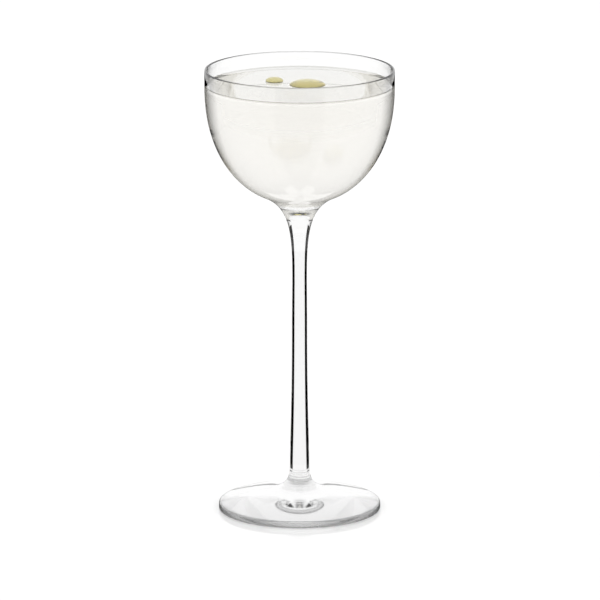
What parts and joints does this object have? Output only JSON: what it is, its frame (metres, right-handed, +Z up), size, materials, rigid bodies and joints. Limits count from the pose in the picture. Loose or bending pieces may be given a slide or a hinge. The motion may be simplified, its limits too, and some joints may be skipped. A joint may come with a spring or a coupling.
{
  "type": "martini cocktail in a stemmed glass",
  "caption": "Stemmed cocktail glass with a deep round bowl, slender pulled stem and flat round foot, filled nearly to the rim with a clear pale drink on which drops of golden oil float.",
  "frame": {"origin": "on the axis of the glass, in the plane that the foot stands on", "axes": "+Z runs up the stem to the rim; -Y is the front, the side seen in the picture, with the small oil drop towards -X"},
  "size_m": [0.08, 0.08, 0.1905],
  "materials": {
    "clear_glass": "clear, colourless, smooth polished glass",
    "drink": "clear liquid with a faint ivory tint and a still, glossy surface",
    "oil": "clear golden-green oil with a glossy, rounded surface"
  },
  "bodies": {
    "root": {"glass": "clear_glass", "drink": "drink", "oil_drop_large": "oil", "oil_drop_small": "oil"}
  },
  "joints": []
}
